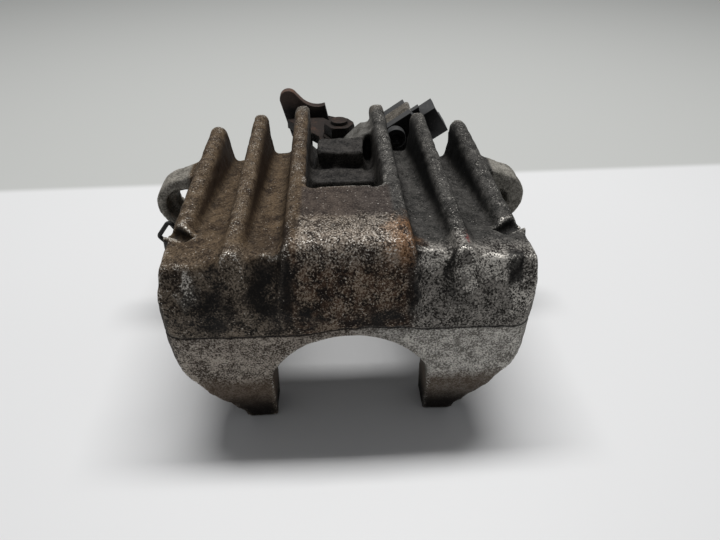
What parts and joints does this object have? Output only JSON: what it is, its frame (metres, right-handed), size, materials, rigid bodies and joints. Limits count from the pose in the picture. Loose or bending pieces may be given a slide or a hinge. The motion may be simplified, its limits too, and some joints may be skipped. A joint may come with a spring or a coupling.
{
  "type": "brake caliper",
  "caption": "Floating rear brake caliper: ribbed cast bridge with fingers and bolt ears, single cylinder with a wind-back piston, and a parking brake lever with its cable bracket.",
  "frame": {"origin": "centre of the piston's pad face, on the bore axis, with the piston wound in", "axes": "+Y from the fingers to the cylinder (towards the middle of the vehicle), +Z from the wheel's axle outwards over the bridge, +X to the right seen from the fingers"},
  "size_m": [0.1506, 0.1619, 0.0737],
  "materials": {
    "cast_alloy": "rough sand-cast skin, oxidised and stained",
    "rubber": "matt black",
    "plated_steel": "dull zinc plating",
    "spring_steel": "oiled spring steel",
    "bronze": "sintered bronze",
    "rusty_steel": "rusted stamped steel",
    "dark_steel": "smooth dark coating",
    "piston_steel": "ground and plated"
  },
  "bodies": {
    "caliper_body": {"caliper_housing": "cast_alloy", "piston_seal": "rubber", "boot_ring": "plated_steel", "dust_boot": "rubber", "spring_cup": "plated_steel", "cup_clip": "spring_steel", "spindle_spring": "spring_steel", "thrust_washer": "bronze", "upper_bush": "bronze", "lower_bush": "bronze", "shaft_seal": "rubber", "stop_pin": "rusty_steel", "return_spring": "spring_steel", "cable_bracket": "dark_steel", "bracket_bolt": "dark_steel"},
    "lever_body": {"cam_shaft": "rusty_steel", "parking_lever": "rusty_steel", "lever_washer": "rusty_steel", "lever_nut": "rusty_steel"},
    "spindle_body": {"adjuster_spindle": "plated_steel", "spindle_o_ring": "rubber", "push_rod": "plated_steel"},
    "carriage_body": {"nut_washer": "bronze", "nut_spring": "spring_steel", "piston_clip": "spring_steel"},
    "piston_body": {"piston": "piston_steel"},
    "nut_body": {"adjuster_nut": "plated_steel"},
    "bleed_body": {"bleed_screw": "plated_steel"},
    "cap_body": {"bleed_cap": "rubber"},
    "clip_body": {"wire_clip": "dark_steel"}
  },
  "joints": [
    {"name": "lever_turn", "type": "hinge", "parent": "caliper_body", "child": "lever_body", "pos_m": [0, 0.069, 0.02], "axis": [0, 0, -1], "range_deg": [0, 40], "stiffness_Nm_per_rad": 1.5, "springref_deg": -28.65, "deforming": ["return_spring"]},
    {"name": "spindle_push", "type": "slide", "parent": "caliper_body", "child": "spindle_body", "axis": [0, -1, 0], "range_m": [0, 0.0028], "deforming": ["spindle_spring"]},
    {"name": "piston_travel", "type": "slide", "parent": "spindle_body", "child": "carriage_body", "axis": [0, -1, 0], "range_m": [0, 0.016], "deforming": ["dust_boot"]},
    {"name": "piston_turn", "type": "hinge", "parent": "carriage_body", "child": "piston_body", "pos_m": [0, 0.02, 0], "axis": [0, 1, 0], "continuous": true},
    {"name": "nut_spin", "type": "hinge", "parent": "carriage_body", "child": "nut_body", "pos_m": [0, 0.02, 0], "axis": [0, 1, 0], "range_deg": [0, 580]},
    {"name": "bleed_turn", "type": "hinge", "parent": "caliper_body", "child": "bleed_body", "pos_m": [-0.04, 0.046, 0.002], "axis": [-1, 0, 0], "range_deg": [0, 270]},
    {"name": "cap_pull", "type": "slide", "parent": "bleed_body", "child": "cap_body", "axis": [-1, 0, 0], "range_m": [0, 0.014]},
    {"name": "clip_swing", "type": "hinge", "parent": "caliper_body", "child": "clip_body", "pos_m": [-0.066, 0.014, 0.0154], "axis": [0, 1, 0], "range_deg": [-35, 35]}
  ],
  "couplings": [
    {"joint": "spindle_push", "follows": "lever_turn", "m_per_rad": 0.004},
    {"joint": "nut_spin", "follows": "piston_travel", "rad_per_m": 628.32}
  ]
}
